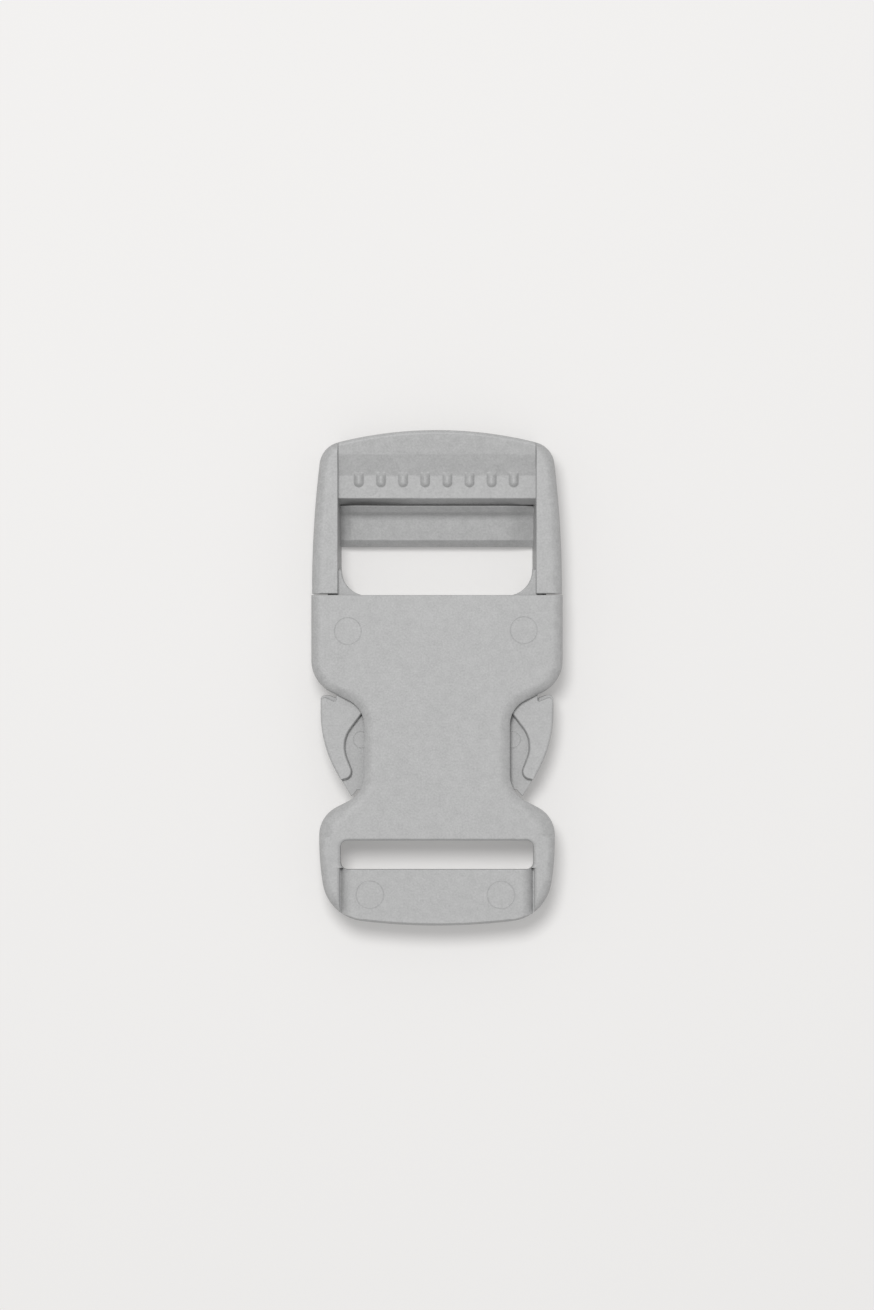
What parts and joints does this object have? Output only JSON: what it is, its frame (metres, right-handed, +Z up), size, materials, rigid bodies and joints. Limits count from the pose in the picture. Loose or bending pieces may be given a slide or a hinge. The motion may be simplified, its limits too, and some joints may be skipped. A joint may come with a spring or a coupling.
{
  "type": "side-release buckle",
  "caption": "Moulded side-release buckle for 25 mm webbing, fastened: a plug with a ladder-lock frame and spring arms, held in a waisted socket with a webbing slot.",
  "frame": {"origin": "middle of the underside, on the surface that the buckle lies on", "axes": "+Y along the buckle towards the plug's lip, +Z up out of the front, +X to the right seen from the front"},
  "size_m": [0.0352, 0.0694, 0.0084],
  "materials": {
    "plug_plastic": "fine moulded grain",
    "socket_plastic": "fine moulded grain"
  },
  "bodies": {
    "root": {"plug": "plug_plastic", "socket": "socket_plastic"}
  },
  "joints": []
}
